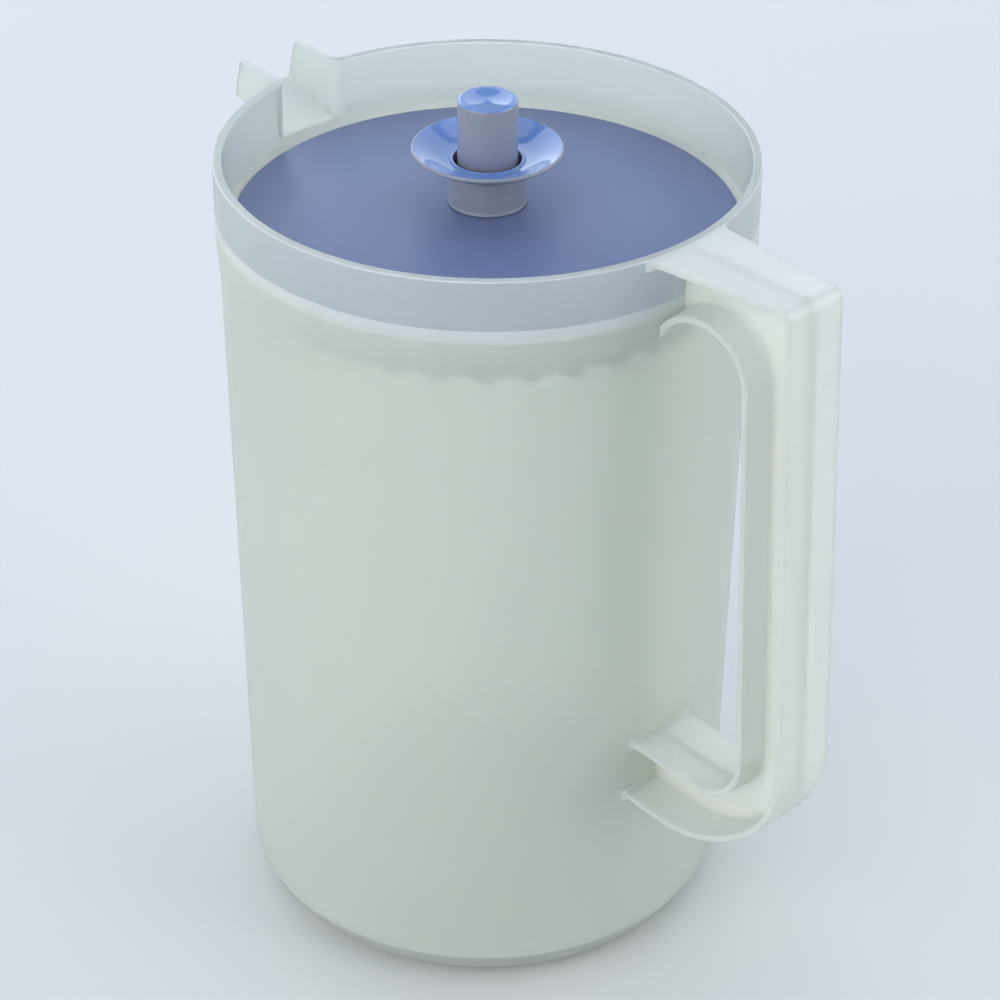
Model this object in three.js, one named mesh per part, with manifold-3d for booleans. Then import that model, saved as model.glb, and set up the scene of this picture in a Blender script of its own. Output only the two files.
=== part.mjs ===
// Plastic pitcher: a frosted one-piece jug with an I-beam handle and a channel spout.
// A domed lid sits on a ring inside its collar, with a saucer grip round a push button.
// Millimetres, +Z up, +X towards the handle, the origin on the jug's axis at the table.
import * as THREE from "three";
import { mergeVertices } from "three/addons/utils/BufferGeometryUtils.js";
import Module from "manifold-3d";

const wasm = await Module();
wasm.setup();

// Clearances between pieces, and how far a cutting solid runs past what it cuts
const seatGap = 0.3;
const slideGap = 0.3;
const cutOverrun = 5;

// Facet counts
const jugSides = 72;
const lidSides = 72;
const knobSides = 36;
const bendSteps = 10;
const cornerSteps = 6;
const edgeSteps = 3;

// Jug: the wall below the collar tapers evenly from the rim to the foot
const jug = {
  height: 260,
  rimRadius: 82.3,
  footRadius: 77.8,
  wall: 2.6,
  floor: 3.2,
  baseCorner: 14,
  footRing: 6,
  footRecess: 0.8,
  footChamfer: 0.8,
};

// Collar: the stretch of wall round the lid, which swells out softly from the wall below it
const collar = {
  height: 24,
  step: 0.5,
  stepRun: 13,
  wall: 2.8,
  draft: 0.1,
  rimRound: 0.5,
};

// Seat: a ring inside the collar, with a conical top that the lid's edge lies on
const seat = {
  depth: 20.5,
  width: 3.8,
  slopeDrop: 2.4,
  throatHeight: 2,
  blendHeight: 4,
};

// Handle: two wide flanges and a thin web, in one loop from the rim to the lower wall
const handle = {
  standOff: 47.2,
  depth: 18.1,
  lean: 0.045,
  halfWidth: 11.2,
  flange: 2.5,
  flangeRoot: 3,
  crown: 0.3,
  edgeRound: 0.6,
  web: 3.2,
  rootInside: 6,
  topTaper: 0.08,
  topCorner: 4,
  topFlare: 4,
  archDrop: 17.4,
  innerBend: 14,
  outerBend: 37.5,
  armBottom: 67.2,
  armHeight: 21.1,
  armSlope: 0.09,
  armWiden: 3.9,
  armTopWiden: 1.2,
  armFlare: 3,
};

// Spout: a channel whose floor climbs outwards from the seat, with walls up to the rim
const spout = {
  reach: 16.8,
  halfWidth: 10.5,
  wall: 1.9,
  floorRound: 6,
  underRound: 7,
  slope: 0.35,
  mouthLean: 0.25,
  tipRise: 0.7,
  blend: 6,
};

// Lid disc: a shallow dome with a thin edge, and a rib below that holds the seal
const lid = {
  overlap: 1.3,
  edge: 0.4,
  dome: 5.3,
  thickness: 1.9,
  ribWall: 1.6,
  ribDrop: 2.6,
};

// Seal: a flexible ring clipped round the disc's rib, with a scalloped skirt
const seal = {
  wall: 1.6,
  hookReach: 4,
  hook: 1.3,
  skirt: 13,
  scallops: 36,
  scallopDepth: 3,
  scallopShare: 0.72,
};

// Button: a hollow plunger with a dished top, and a flange that stops it under the knob
const button = {
  radius: 9.1,
  stand: 15.7,
  wall: 1.6,
  dish: 1.1,
  edge: 1.3,
  flange: 2.3,
  flangeHeight: 1.5,
  tail: 5.5,
};

// Knob: a saucer grip on a short neck, snapped into the disc's hole by a barb
const knob = {
  height: 17.9,
  boreGap: 1.25,
  neckWall: 1.4,
  saucerReach: 11.25,
  saucerDepth: 4.1,
  saucerWall: 1.7,
  saucerUnder: 5.2,
  lip: 0.65,
  beadWidth: 0.9,
  bead: 0.4,
  neckFoot: 0.4,
  neckFootHeight: 1.2,
  shoulder: 0.75,
  barb: 1,
  barbHeight: 1.6,
  guideHeight: 4,
};

// Web: a thin dished membrane under the disc that carries the button and springs it back
const web = {
  thickness: 1.2,
  hubMargin: 3.4,
};

const looks = {
  frosted: { color: 0xc3cec6, roughness: 0.45, metalness: 0 },
  satinBlue: { color: 0x7e93c6, roughness: 0.5, metalness: 0 },
  glossBlue: { color: 0x7c9fe0, roughness: 0.18, metalness: 0 },
  natural: { color: 0xc9cec8, roughness: 0.6, metalness: 0 },
};

// Solids

// A closed geometry as a solid that can be joined and cut, turned face out if need be
function solidOf(geometry) {
  const bare = geometry.clone();
  bare.deleteAttribute("normal");
  bare.deleteAttribute("uv");
  const merged = mergeVertices(bare);
  const index = merged.index.array;
  const faces = [];
  for (let i = 0; i < index.length; i += 3) {
    const [a, b, c] = [index[i], index[i + 1], index[i + 2]];
    if (a !== b && b !== c && c !== a) faces.push([a, b, c]);
  }
  const make = (triangles) => new wasm.Manifold(new wasm.Mesh({
    numProp: 3,
    vertProperties: new Float32Array(merged.attributes.position.array),
    triVerts: new Uint32Array(triangles.flat()),
  }));
  const solid = make(faces);
  return solid.volume() > 0 ? solid : make(faces.map(([a, b, c]) => [c, b, a]));
}

function meshOf(name, solid, look) {
  const { vertProperties, triVerts } = solid.getMesh();
  const geometry = new THREE.BufferGeometry();
  geometry.setAttribute("position", new THREE.BufferAttribute(vertProperties, 3));
  geometry.setIndex(new THREE.BufferAttribute(triVerts, 1));
  geometry.computeVertexNormals();
  const mesh = new THREE.Mesh(geometry, new THREE.MeshStandardMaterial(look));
  mesh.name = name;
  return mesh;
}

// Revolves an outline of radius and height about +Z
function revolve(outline, sides) {
  const startsOnAxis = outline[0].x === 0;
  const points = startsOnAxis ? outline : [...outline, outline[0].clone()];
  const lathe = new THREE.LatheGeometry(points, sides);
  lathe.rotateX(Math.PI / 2);
  return solidOf(lathe);
}

// Extrudes an outline of x and z by the same distance to both sides of the XZ plane
function plate(outline, halfWidth) {
  const options = { depth: 2 * halfWidth, bevelEnabled: false };
  const slab = new THREE.ExtrudeGeometry(new THREE.Shape(outline), options);
  slab.translate(0, 0, -halfWidth);
  slab.rotateX(Math.PI / 2);
  return solidOf(slab);
}

// Extrudes an outline of x and y upwards between two heights
function column(outline, bottom, top) {
  const options = { depth: top - bottom, bevelEnabled: false };
  const block = new THREE.ExtrudeGeometry(new THREE.Shape(outline), options);
  block.translate(0, 0, bottom);
  return solidOf(block);
}

const join = (solids) => solids.reduce((whole, piece) => whole.add(piece));

// Plane geometry

const at = (x, y) => new THREE.Vector2(x, y);
const towards = (angle) => at(Math.cos(angle), Math.sin(angle));

const right = 0;
const up = Math.PI / 2;
const left = Math.PI;
const down = -Math.PI / 2;

const between = (from, to, share) => from + (to - from) * share;

// The steps of a range as shares from 0 to 1
const shares = (steps) => Array.from({ length: steps + 1 }, (_, i) => i / steps);

function arc(centre, radius, from, to, steps) {
  return shares(steps).map((share) => (
    towards(between(from, to, share)).multiplyScalar(radius).add(centre)
  ));
}

// The centre of a round that touches two lines, each a point and the angle of its normal
function roundCentre(lineA, lineB, radius) {
  const [a, b] = [lineA, lineB].map(({ point, angle }) => {
    const normal = towards(angle);
    return { normal, offset: normal.dot(point) - radius };
  });
  const det = a.normal.x * b.normal.y - a.normal.y * b.normal.x;
  return at(
    (a.offset * b.normal.y - b.offset * a.normal.y) / det,
    (b.offset * a.normal.x - a.offset * b.normal.x) / det,
  );
}

// Jug

const collarBottom = jug.height - collar.height;
const collarInner = jug.rimRadius - collar.wall;
const seatTop = jug.height - seat.depth;
const seatOuter = collarInner - collar.draft;
const throatRadius = seatOuter - seat.width;
const throatTop = seatTop - seat.slopeDrop;
const seatHeight = (r) => seatTop - (seat.slopeDrop / seat.width) * (seatOuter - r);

const wallTaper = (jug.rimRadius - collar.step - jug.footRadius) / jug.height;
const wallRadius = (z) => jug.footRadius + wallTaper * z;

function jugOutside() {
  const footFlat = wallRadius(jug.baseCorner) - jug.baseCorner;
  const recessRadius = footFlat - jug.footRing;
  const stepBottom = collarBottom - collar.stepRun;
  const rimCentre = at(jug.rimRadius - collar.rimRound, jug.height - collar.rimRound);
  const swell = shares(edgeSteps).map((share) => at(
    between(wallRadius(stepBottom), jug.rimRadius, THREE.MathUtils.smoothstep(share, 0, 1)),
    between(stepBottom, collarBottom, share),
  ));
  return revolve([
    at(0, jug.footRecess),
    at(recessRadius - jug.footChamfer, jug.footRecess),
    at(recessRadius, 0),
    ...arc(at(footFlat, jug.baseCorner), jug.baseCorner, down, right, cornerSteps),
    ...swell,
    ...arc(rimCentre, collar.rimRound, right, up, edgeSteps),
    at(0, jug.height),
  ], jugSides);
}

function jugCavity() {
  const inner = (z) => wallRadius(z) - jug.wall;
  const cornerRadius = jug.baseCorner - jug.wall;
  const cornerTop = jug.floor + cornerRadius;
  const cornerCentre = at(inner(cornerTop) - cornerRadius, cornerTop);
  const throatBottom = throatTop - seat.throatHeight;
  const blendBottom = throatBottom - seat.blendHeight;
  const rimCentre = at(collarInner + collar.rimRound, jug.height - collar.rimRound);
  return revolve([
    at(0, jug.floor),
    ...arc(cornerCentre, cornerRadius, down, right, cornerSteps),
    at(inner(blendBottom), blendBottom),
    at(throatRadius, throatBottom),
    at(throatRadius, throatTop),
    at(seatOuter, seatTop),
    ...arc(rimCentre, collar.rimRound, left, up, edgeSteps),
    at(collarInner + collar.rimRound, jug.height + cutOverrun),
    at(0, jug.height + cutOverrun),
  ], jugSides);
}

// Handle: each flange is swept along a track of stations in the XZ plane

const leanAngle = Math.atan(handle.lean);
const underAngle = down - Math.atan(handle.armSlope);
const gripOuterX = jug.rimRadius + handle.standOff;

const gripOuter = { point: at(gripOuterX, jug.height), angle: leanAngle };
const gripInner = { point: at(gripOuterX - handle.depth, jug.height), angle: leanAngle };
const armUnder = { point: at(jug.footRadius, handle.armBottom), angle: underAngle };
const armOver = {
  point: at(jug.footRadius, handle.armBottom + handle.armHeight),
  angle: underAngle,
};

const station = (point, angle, halfWidth) => ({ point, normal: towards(angle), halfWidth });

// A point of an arm's face at a distance from the jug's axis
const onArm = (line, x) => at(x, line.point.y - handle.armSlope * (x - line.point.x));

// Where a flange of a half width enters the round wall
const wallChord = (radius, halfWidth) => Math.sqrt(radius ** 2 - halfWidth ** 2);

// How much a quarter-round flare widens a flange at a distance from the wall
function flare(distance, size) {
  const run = THREE.MathUtils.clamp(size - distance, 0, size);
  return size - Math.sqrt(size * size - run * run);
}

// The outer flange: along the top, down the grip, round the bend and back under the arm
function outerTrack() {
  const { halfWidth, topTaper, topCorner, topFlare, outerBend, armWiden, armFlare } = handle;
  const rimX = wallChord(jug.rimRadius, halfWidth + topTaper * handle.standOff + topFlare);
  const armX = wallChord(wallRadius(handle.armBottom), halfWidth + armWiden + armFlare);
  const top = { point: at(0, jug.height), angle: up };
  const cornerCentre = roundCentre(gripOuter, top, topCorner);
  const bendCentre = roundCentre(gripOuter, armUnder, outerBend);
  const topStation = (x) => {
    const widen = topTaper * (gripOuterX - x) + flare(x - rimX, topFlare);
    return station(at(x, jug.height), up, halfWidth + widen);
  };
  const armStation = (x) => {
    const widen = armWiden + flare(x - armX, armFlare);
    return station(onArm(armUnder, x), underAngle, halfWidth + widen);
  };
  return [
    topStation(rimX - handle.rootInside),
    ...shares(cornerSteps).map((share) => topStation(rimX + topFlare * share)),
    ...shares(edgeSteps).map((share) => {
      const angle = between(up, leanAngle, share);
      const point = towards(angle).multiplyScalar(topCorner).add(cornerCentre);
      return station(point, angle, halfWidth);
    }),
    ...shares(bendSteps).map((share) => {
      const angle = between(leanAngle, underAngle, share);
      const point = towards(angle).multiplyScalar(outerBend).add(bendCentre);
      return station(point, angle, halfWidth + armWiden * Math.max(0, 2 * share - 1));
    }),
    ...shares(edgeSteps).map((share) => armStation(armX + armFlare * (1 - share))),
    armStation(armX - handle.rootInside),
  ];
}

// The inner flange: an arch from the wall over the fingers, down the grip and along the arm
function innerTrack() {
  const { halfWidth, innerBend, armTopWiden, lean } = handle;
  const archTop = jug.height - handle.archDrop;
  const wallX = wallChord(wallRadius(archTop), halfWidth);
  const gripX = gripInner.point.x + lean * handle.archDrop;
  const archRadius = (gripX - wallX) / (2 - lean - wallTaper);
  const archCentre = at(wallX + archRadius * (1 - wallTaper), archTop - archRadius);
  const bendCentre = roundCentre(gripInner, armOver, innerBend);
  const armRadius = wallRadius(armOver.point.y);
  const rootX = wallChord(armRadius, halfWidth + armTopWiden) - handle.rootInside;
  const bent = (centre, radius, from, to, steps, widen) => shares(steps).map((share) => {
    const angle = between(from, to, share);
    const point = towards(angle).multiplyScalar(radius).add(centre);
    return station(point, angle + Math.PI, halfWidth + widen * share);
  });
  return [
    ...bent(archCentre, archRadius, left, leanAngle, bendSteps, 0),
    ...bent(bendCentre, innerBend, leanAngle, underAngle, cornerSteps, armTopWiden),
    station(onArm(armOver, rootX), underAngle + Math.PI, halfWidth + armTopWiden),
  ];
}

// A flange's section, as depth below its face and distance from the web's middle plane
function flangeSection(halfWidth) {
  const { crown, edgeRound, flange, flangeRoot } = handle;
  const halfWeb = handle.web / 2;
  const oneSide = [
    at(crown, halfWidth - edgeRound),
    at(crown + edgeRound, halfWidth),
    at(flange - edgeRound, halfWidth),
    at(flange, halfWidth - edgeRound),
    at(flangeRoot, halfWeb),
  ];
  const otherSide = oneSide.map((corner) => at(corner.x, -corner.y)).reverse();
  return [at(0, 0), ...oneSide, ...otherSide];
}

function sweepFlange(track) {
  const sections = track.map(({ halfWidth }) => flangeSection(halfWidth));
  const count = sections[0].length;
  const positions = track.flatMap(({ point, normal }, i) => sections[i].flatMap((corner) => [
    point.x - normal.x * corner.x,
    corner.y,
    point.y - normal.y * corner.x,
  ]));
  const faces = [];
  for (let i = 0; i < track.length - 1; i += 1) {
    for (let j = 0; j < count; j += 1) {
      const a = i * count + j;
      const b = i * count + ((j + 1) % count);
      faces.push(a, b, a + count, b, b + count, a + count);
    }
  }
  const last = (track.length - 1) * count;
  for (const [a, b, c] of THREE.ShapeUtils.triangulateShape(sections[0], [])) {
    faces.push(a, b, c, last + a, last + c, last + b);
  }
  const geometry = new THREE.BufferGeometry();
  geometry.setAttribute("position", new THREE.Float32BufferAttribute(positions, 3));
  geometry.setIndex(faces);
  return solidOf(geometry);
}

function jugHandle() {
  const outer = outerTrack();
  const inner = innerTrack();
  const middle = (track) => track.map(({ point, normal }) => (
    point.clone().addScaledVector(normal, -handle.flange / 2)
  ));
  const webPlate = plate([...middle(outer), ...middle(inner).reverse()], handle.web / 2);
  return join([sweepFlange(outer), sweepFlange(inner), webPlate]);
}

// Spout

const spoutTop = jug.height + spout.tipRise;
const spoutReach = jug.rimRadius + spout.reach;
const mouthX = (z) => spoutReach + spout.mouthLean * (jug.height - z);

// A prism along the climbing floor, open upwards, at a distance below the channel's floor
function channel(halfWidth, round, below) {
  const height = jug.rimRadius;
  const length = 2 * jug.rimRadius;
  const outline = [
    at(halfWidth, height),
    ...arc(at(halfWidth - round, round), round, right, down, cornerSteps),
    ...arc(at(round - halfWidth, round), round, down, -left, cornerSteps),
    at(-halfWidth, height),
  ];
  const options = { depth: length, bevelEnabled: false };
  const prism = new THREE.ExtrudeGeometry(new THREE.Shape(outline), options);
  prism.rotateX(Math.PI / 2);
  prism.rotateZ(Math.PI / 2);
  prism.translate(-length / 2, 0, 0);
  prism.rotateY(Math.atan(spout.slope));
  prism.translate(-seatOuter, 0, seatTop - below);
  return solidOf(prism);
}

// The side view that everything of the spout stays within, from the collar to the mouth
function spoutSide(halfWidth) {
  const low = collarBottom;
  return plate([
    at(-collarInner, low),
    at(-collarInner, jug.height),
    at(-jug.rimRadius, jug.height),
    at(-mouthX(spoutTop), spoutTop),
    at(-mouthX(low), low),
  ], halfWidth);
}

// Columns that fill the corners between a face of the collar and the channel's two sides.
// Each has a round of a radius towards the outside, and starts at an innermost distance.
function spoutCorners(halfWidth, collarFace, radius, innermost, bottom, top) {
  const centreY = halfWidth + radius;
  const centreX = Math.sqrt((collarFace + radius) ** 2 - centreY ** 2);
  const toCollar = Math.atan2(-centreY, -centreX);
  const outline = [
    at(innermost, 0),
    at(centreX, 0),
    ...arc(at(centreX, centreY), radius, down, toCollar, cornerSteps),
  ];
  return join([1, -1].map((mirror) => column(
    outline.map((point) => at(-point.x, mirror * point.y)),
    bottom,
    top,
  )));
}

// Concave rounds between the spout's outer faces and the collar, fading out downwards
function spoutBlends(outerHalf) {
  const { blend, wall, underRound } = spout;
  const { rimRadius, height } = jug;
  const corners = spoutCorners(outerHalf, rimRadius, blend, collarInner, collarBottom, height);
  return corners.intersect(channel(outerHalf + blend, underRound + blend, wall));
}

// Convex rounds that lead the collar's inside into the channel, behind the concave ones
function spoutFlares() {
  const { halfWidth, wall, floorRound, blend } = spout;
  const radius = blend + wall;
  const top = spoutTop + cutOverrun;
  const corners = spoutCorners(halfWidth, collarInner, radius, throatRadius, seatTop, top);
  return corners.intersect(channel(halfWidth + radius, floorRound + radius, 0));
}

function jugSpout() {
  const outerHalf = spout.halfWidth + spout.wall;
  const trough = channel(outerHalf, spout.underRound, spout.wall);
  return trough.intersect(spoutSide(jug.rimRadius)).add(spoutBlends(outerHalf));
}

// The channel itself, which also opens the collar's wall down to the seat
function spoutHollow() {
  const outsideThroat = plate([
    at(-throatRadius, seatTop),
    at(-throatRadius, spoutTop + cutOverrun),
    at(-2 * spoutReach, spoutTop + cutOverrun),
    at(-2 * spoutReach, seatTop),
  ], 2 * spout.halfWidth);
  const trough = channel(spout.halfWidth, spout.floorRound, 0);
  return trough.intersect(outsideThroat).add(spoutFlares());
}

function pitcherBody() {
  const outside = join([jugOutside(), jugHandle(), jugSpout()]);
  return outside.subtract(jugCavity()).subtract(spoutHollow());
}

// Lid

const lidRadius = throatRadius + lid.overlap;
const lidEdgeBottom = seatHeight(lidRadius) + seatGap;
const lidEdgeTop = lidEdgeBottom + lid.edge;
const domeHeight = (r) => lidEdgeTop + lid.dome * (1 - (r / lidRadius) ** 2);
const sealOuter = throatRadius - slideGap;
const sealInner = sealOuter - seal.wall;
const discUnder = seatHeight(sealOuter) + seatGap;
const ribOuter = sealInner - seatGap;
const ribInner = ribOuter - lid.ribWall;
const ribBottom = discUnder - lid.ribDrop;
const hookTop = ribBottom - seatGap;

// Knob radii, outwards from the button that slides in it
const guideRadius = button.radius + slideGap;
const boreRadius = button.radius + knob.boreGap;
const neckRadius = boreRadius + knob.neckWall;
const spigotRadius = neckRadius - knob.shoulder;
const saucerRadius = neckRadius + knob.saucerReach;
const discHole = spigotRadius + seatGap;

function lidDisc() {
  const top = shares(cornerSteps).map((share) => {
    const r = between(discHole, lidRadius, share);
    return at(r, domeHeight(r));
  });
  const under = top
    .filter((point) => point.x < ribInner)
    .map((point) => at(point.x, point.y - lid.thickness))
    .reverse();
  return revolve([
    ...top,
    at(lidRadius, lidEdgeBottom),
    at(sealOuter, discUnder),
    at(ribOuter, discUnder),
    at(ribOuter, ribBottom),
    at(ribInner, ribBottom),
    at(ribInner, discUnder),
    ...under,
  ], lidSides);
}

function lidSeal() {
  const sealTop = discUnder - seatGap;
  const skirtBottom = sealTop - seal.skirt;
  const hookInner = sealInner - seal.hookReach;
  const ring = revolve([
    at(sealOuter, skirtBottom),
    at(sealOuter, sealTop),
    at(sealInner, sealTop),
    at(sealInner, hookTop),
    at(hookInner, hookTop),
    at(hookInner, hookTop - seal.hook),
    at(sealInner, hookTop - seal.hook),
    at(sealInner, skirtBottom),
  ], lidSides);
  const pitch = (2 * Math.PI * sealOuter) / seal.scallops;
  const halfSpan = (pitch * seal.scallopShare) / 2;
  const dip = shares(cornerSteps).map((share) => {
    const ray = towards(between(left, right, share));
    return at(halfSpan * ray.x, skirtBottom + seal.scallopDepth * ray.y);
  });
  const below = [halfSpan, -halfSpan].map((x) => at(x, skirtBottom - cutOverrun));
  const notch = plate([...dip, ...below], 2 * seal.wall).translate(0, sealOuter, 0);
  const notches = Array.from({ length: seal.scallops }, (_, i) => (
    notch.rotate(0, 0, (360 * i) / seal.scallops)
  ));
  return ring.subtract(join(notches));
}

// Knob

const saucerTop = domeHeight(0) + knob.height;
const neckBottom = domeHeight(discHole) + seatGap;
const barbTop = domeHeight(discHole) - lid.thickness - seatGap;
const spigotBottom = barbTop - knob.barbHeight;

function gripCollar() {
  const { lip, bead, beadWidth, neckFootHeight, guideHeight } = knob;
  const dishBottom = saucerTop - knob.saucerDepth;
  const dishInner = boreRadius + beadWidth;
  const dishOuter = saucerRadius - lip;
  const underTop = saucerTop - knob.saucerWall;
  const neckTop = underTop - knob.saucerUnder;
  const dish = shares(cornerSteps).map((share) => {
    const climb = share * share * (2 - share);
    return at(between(dishInner, dishOuter, share), between(dishBottom, saucerTop, climb));
  });
  return revolve([
    at(boreRadius, dishBottom),
    at(boreRadius + beadWidth / 3, dishBottom + bead),
    ...dish,
    at(saucerRadius, saucerTop - lip),
    at(saucerRadius, underTop + lip / 2),
    at(dishOuter, underTop),
    at(neckRadius + beadWidth, neckTop),
    at(neckRadius, neckTop - beadWidth),
    at(neckRadius, neckBottom + neckFootHeight),
    at(neckRadius + knob.neckFoot, neckBottom),
    at(spigotRadius, neckBottom),
    at(spigotRadius, barbTop),
    at(spigotRadius + knob.barb, barbTop),
    at(spigotRadius, spigotBottom),
    at(guideRadius, spigotBottom),
    at(guideRadius, spigotBottom + guideHeight),
    at(boreRadius, spigotBottom + guideHeight + beadWidth),
  ], knobSides);
}

// Button and web

const buttonTop = saucerTop + button.stand;
const flangeTop = spigotBottom - seatGap;
const buttonBottom = flangeTop - button.tail;

function pushButton() {
  const { radius, wall, dish, edge, flange, flangeHeight } = button;
  const dishRadius = radius - edge;
  const boreTop = buttonTop - dish - wall;
  return revolve([
    at(0, buttonTop - dish),
    at(dishRadius / 2, buttonTop - dish * 0.75),
    ...arc(at(dishRadius, buttonTop - edge), edge, up, right, edgeSteps),
    at(radius, flangeTop),
    at(radius + flange, flangeTop),
    at(radius + flange, flangeTop - flangeHeight),
    at(radius, flangeTop - flangeHeight),
    at(radius, buttonBottom),
    at(radius - wall, buttonBottom),
    at(radius - wall, boreTop),
    at(0, boreTop),
  ], knobSides);
}

function springWeb() {
  const hubTop = buttonBottom - seatGap;
  const hubRadius = button.radius + web.hubMargin;
  const rimBottom = hookTop + seatGap;
  const rimOuter = ribInner - seatGap;
  const rimInner = rimOuter - seal.hookReach;
  const upper = [
    at(0, hubTop),
    at(hubRadius, hubTop),
    at(rimInner, rimBottom + web.thickness),
    at(rimOuter, rimBottom + web.thickness),
  ];
  const lower = upper.map((point) => at(point.x, point.y - web.thickness)).reverse();
  return revolve([...upper, ...lower], lidSides);
}

const pitcher = new THREE.Group();
pitcher.name = "pitcher";
pitcher.add(meshOf("pitcher_body", pitcherBody(), looks.frosted));
pitcher.add(meshOf("lid_disc", lidDisc(), looks.satinBlue));
pitcher.add(meshOf("lid_seal", lidSeal(), looks.natural));
pitcher.add(meshOf("grip_collar", gripCollar(), looks.glossBlue));
pitcher.add(meshOf("push_button", pushButton(), looks.satinBlue));
pitcher.add(meshOf("spring_web", springWeb(), looks.natural));

export default pitcher;
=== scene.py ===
"""The looks of the plastic pitcher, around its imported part.

Every solid is replaced by a finer moulded piece of the same main sizes: the frosted jug
with its I-beam handle and channel spout, the satin lid disc, the scalloped seal, the saucer
grip, the push button and the flexible web. Sizes are in millimetres, Blender is in metres.
"""

from __future__ import annotations

import logging
import math
from collections.abc import Sequence
from dataclasses import dataclass, replace
from enum import Enum

import bmesh
import bpy
from mathutils import Matrix, Vector

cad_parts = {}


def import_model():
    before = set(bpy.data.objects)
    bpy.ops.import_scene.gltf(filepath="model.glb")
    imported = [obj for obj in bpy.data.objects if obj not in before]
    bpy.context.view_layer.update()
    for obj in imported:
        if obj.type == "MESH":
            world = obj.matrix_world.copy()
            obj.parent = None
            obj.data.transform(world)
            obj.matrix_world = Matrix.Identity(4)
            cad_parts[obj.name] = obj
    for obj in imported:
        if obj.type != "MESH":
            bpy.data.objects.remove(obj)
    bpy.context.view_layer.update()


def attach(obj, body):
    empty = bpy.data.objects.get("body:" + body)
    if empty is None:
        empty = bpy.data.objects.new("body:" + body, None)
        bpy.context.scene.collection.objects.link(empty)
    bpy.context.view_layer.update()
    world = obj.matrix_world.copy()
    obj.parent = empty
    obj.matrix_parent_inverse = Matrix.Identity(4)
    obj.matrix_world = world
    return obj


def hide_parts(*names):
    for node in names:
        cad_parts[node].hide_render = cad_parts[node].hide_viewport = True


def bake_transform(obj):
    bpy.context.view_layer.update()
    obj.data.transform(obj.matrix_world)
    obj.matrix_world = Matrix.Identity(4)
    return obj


log = logging.getLogger("pitcher")

MM = 0.001
WHOLE_TURN = 2 * math.pi
# How far a cutting solid reaches past what it cuts.
OVERRUN = 5.0
# How far off a surface a point may lie and still count as on it.
NEAR = 0.1
# How far apart two heights may be and still count as the same.
SAME = 0.01

Pair = tuple[float, float]
Point = tuple[float, float]
Outline = list[Point]
Triple = tuple[float, float, float]
Piece = bpy.types.Object


# Mesh building


class Cut(Enum):
    """What a tool solid does to the solid it meets."""

    JOIN = "UNION"
    REMOVE = "DIFFERENCE"
    KEEP = "INTERSECT"


def shares(steps: int) -> list[float]:
    """Even steps from 0 to 1, both ends included."""
    return [i / steps for i in range(steps + 1)]


def ease(share: float) -> float:
    """A climb from 0 to 1 that starts and ends level."""
    return share * share * (3 - 2 * share)


def arc(centre: Point, radius: float, start: float, end: float, steps: int) -> Outline:
    """Points along an arc.

    Args:
        centre: the arc's centre.
        radius: its radius.
        start: the angle of the first point, in degrees.
        end: the angle of the last point, in degrees.
        steps: how many equal steps join them.

    Returns:
        steps + 1 points, both ends included.
    """
    angles = [math.radians(start + (end - start) * i / steps) for i in range(steps + 1)]
    return [(centre[0] + radius * math.cos(a), centre[1] + radius * math.sin(a)) for a in angles]


def add_object(name: str, data: bpy.types.ID) -> Piece:
    """Makes an object of its data and links it to the scene."""
    made = bpy.data.objects.new(name, data)
    bpy.context.scene.collection.objects.link(made)
    return made


def closed_object(name: str, points: Sequence[Vector], faces: Sequence[tuple[int, ...]]) -> Piece:
    """Makes a closed mesh object with its faces pointing out.

    Args:
        name: the object's name.
        points: the corners, in millimetres.
        faces: the corners of each face.

    Returns:
        The object, linked to the scene.
    """
    mesh = bpy.data.meshes.new(name)
    mesh.from_pydata([point * MM for point in points], [], faces)
    work = bmesh.new()
    work.from_mesh(mesh)
    if work.calc_volume(signed=True) < 0:
        bmesh.ops.reverse_faces(work, faces=work.faces)
    work.to_mesh(mesh)
    work.free()
    return add_object(name, mesh)


def lathe(name: str, outline: Outline, sides: int) -> Piece:
    """Revolves an outline about the jug's axis.

    Args:
        name: the object's name.
        outline: radii and heights. It starts and ends on the axis, or else closes on itself.
        sides: facets round the axis.

    Returns:
        The closed solid.
    """
    points: list[Vector] = []
    rings: list[list[int]] = []
    for radius, height in outline:
        first = len(points)
        if radius == 0:
            points.append(Vector((0, 0, height)))
            rings.append([first] * sides)
            continue
        for i in range(sides):
            angle = WHOLE_TURN * i / sides
            points.append(Vector((radius * math.cos(angle), radius * math.sin(angle), height)))
        rings.append(list(range(first, first + sides)))
    if outline[0][0] != 0:
        rings.append(rings[0])
    faces = []
    for lower, upper in zip(rings, rings[1:]):
        for i in range(sides):
            j = (i + 1) % sides
            face = tuple(dict.fromkeys((lower[i], lower[j], upper[j], upper[i])))
            if len(face) > 2:
                faces.append(face)
    return closed_object(name, points, faces)


def loft(name: str, rings: Sequence[Sequence[Vector]], closed: bool = False) -> Piece:
    """Joins rings of equal length into one solid.

    Args:
        name: the object's name.
        rings: the rings in order.
        closed: whether the last ring joins the first. Otherwise both ends are capped.

    Returns:
        The closed solid.
    """
    count, total = len(rings[0]), len(rings)
    faces: list[tuple[int, ...]] = []
    for row in range(total if closed else total - 1):
        near, far = row * count, (row + 1) % total * count
        for i in range(count):
            j = (i + 1) % count
            faces.append((near + i, near + j, far + j, far + i))
    if not closed:
        faces.append(tuple(reversed(range(count))))
        faces.append(tuple(range((total - 1) * count, total * count)))
    return closed_object(name, [point for ring in rings for point in ring], faces)


def side_plate(name: str, outline: Outline, half_width: float) -> Piece:
    """A plate with an outline of x and z, equally thick on both sides of the XZ plane."""
    rings = [[Vector((x, y, z)) for x, z in outline] for y in (-half_width, half_width)]
    return loft(name, rings)


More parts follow.
